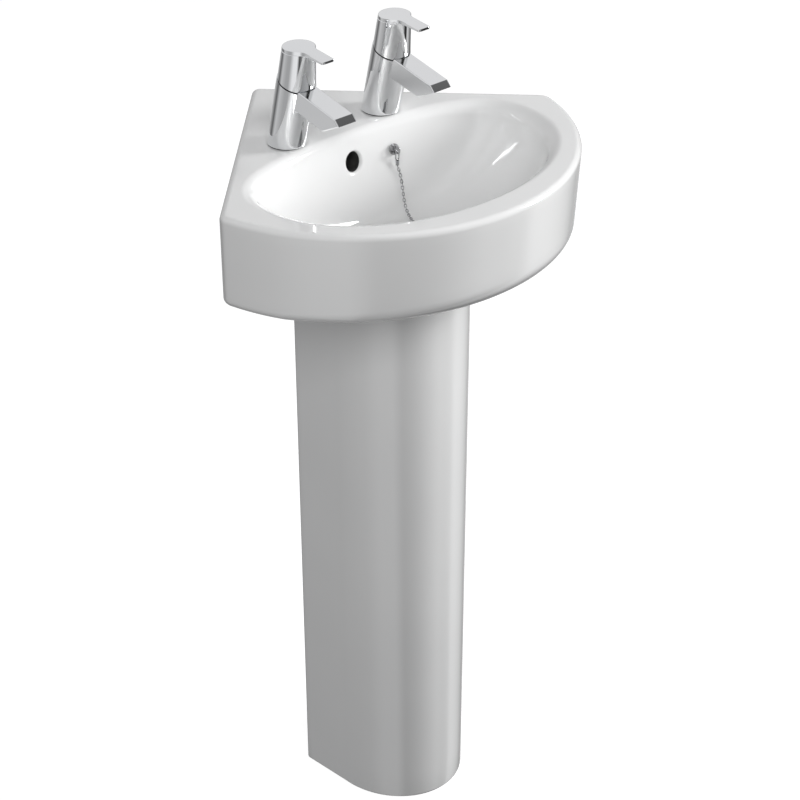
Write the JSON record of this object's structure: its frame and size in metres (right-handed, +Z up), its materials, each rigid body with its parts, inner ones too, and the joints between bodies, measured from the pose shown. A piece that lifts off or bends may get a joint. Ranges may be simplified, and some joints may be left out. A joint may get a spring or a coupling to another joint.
{
  "type": "pedestal sink",
  "caption": "Corner hand basin on a full pedestal, with leaning quarter-turn lever taps, plug and chain, slotted waste and bottle trap.",
  "frame": {"origin": "on the floor under the pedestal, in the middle of the object's box", "axes": "+Z up; the bowl faces -Y; the corner of the two walls is at +Y; +X is to the right for a person at the bowl who looks at the taps, the cold side"},
  "size_m": [0.4884, 0.4404, 0.975],
  "materials": {
    "glazed_china": "gloss white vitreous china",
    "chrome": "polished chrome plate on brass",
    "brass": "machined brass",
    "steel": "plain stainless steel",
    "black_rubber": "matt moulded rubber",
    "grey_foam": "closed-cell foam strip",
    "black_plastic": "smooth acetal",
    "white_plastic": "moulded white polypropylene",
    "valve_ceramic": "lapped alumina"
  },
  "bodies": {
    "fixed": {"basin": "glazed_china", "pedestal": "glazed_china", "pedestal_gasket": "grey_foam", "hot_tap_body": "chrome", "hot_base_seal": "black_rubber", "hot_spindle_o_ring": "black_rubber", "hot_tail": "brass", "hot_back_nut": "brass", "hot_headwork": "brass", "hot_top_hat_washer": "white_plastic", "hot_flow_straightener": "white_plastic", "hot_glide_ring": "black_plastic", "hot_fixed_disc": "valve_ceramic", "cold_tap_body": "chrome", "cold_base_seal": "black_rubber", "cold_spindle_o_ring": "black_rubber", "cold_tail": "brass", "cold_back_nut": "brass", "cold_headwork": "brass", "cold_top_hat_washer": "white_plastic", "cold_flow_straightener": "white_plastic", "cold_glide_ring": "black_plastic", "cold_fixed_disc": "valve_ceramic", "waste_body": "chrome", "chain_stay": "chrome", "stay_link": "chrome", "chain_coupling": "chrome", "plug_chain": "chrome", "waste_back_nut": "brass", "stay_nut": "brass", "waste_flange_seal": "black_rubber", "stay_washer": "black_rubber", "stay_back_washer": "black_rubber", "waste_lower_washer": "black_rubber", "trap_inlet_washer": "black_rubber", "trap_bottle_seal": "black_rubber", "trap_outlet_seal": "black_rubber", "trap_inlet_nut": "white_plastic", "trap_body": "white_plastic", "trap_bottle": "white_plastic", "trap_outlet_nut": "white_plastic", "waste_pipe": "white_plastic"},
    "hot_turning": {"hot_handle": "chrome", "hot_grub_screw": "steel", "hot_spindle": "brass", "hot_moving_disc": "valve_ceramic"},
    "cold_turning": {"cold_handle": "chrome", "cold_grub_screw": "steel", "cold_spindle": "brass", "cold_moving_disc": "valve_ceramic"},
    "loose_plug": {"plug": "black_rubber", "plug_eye": "chrome", "plug_link": "chrome"}
  },
  "joints": [
    {"name": "hot_turn", "type": "hinge", "parent": "fixed", "child": "hot_turning", "pos_m": [-0.0705, 0.05605, 0.9311], "axis": [0, -0.3746, 0.9272], "range_deg": [-90, 0]},
    {"name": "cold_turn", "type": "hinge", "parent": "fixed", "child": "cold_turning", "pos_m": [0.0705, 0.05605, 0.9311], "axis": [0, -0.3746, 0.9272], "range_deg": [0, 90]},
    {"name": "plug_lift", "type": "slide", "parent": "fixed", "child": "loose_plug", "axis": [0, 0, 1], "range_m": [0, 0.09], "deforming": ["plug_chain"]}
  ]
}
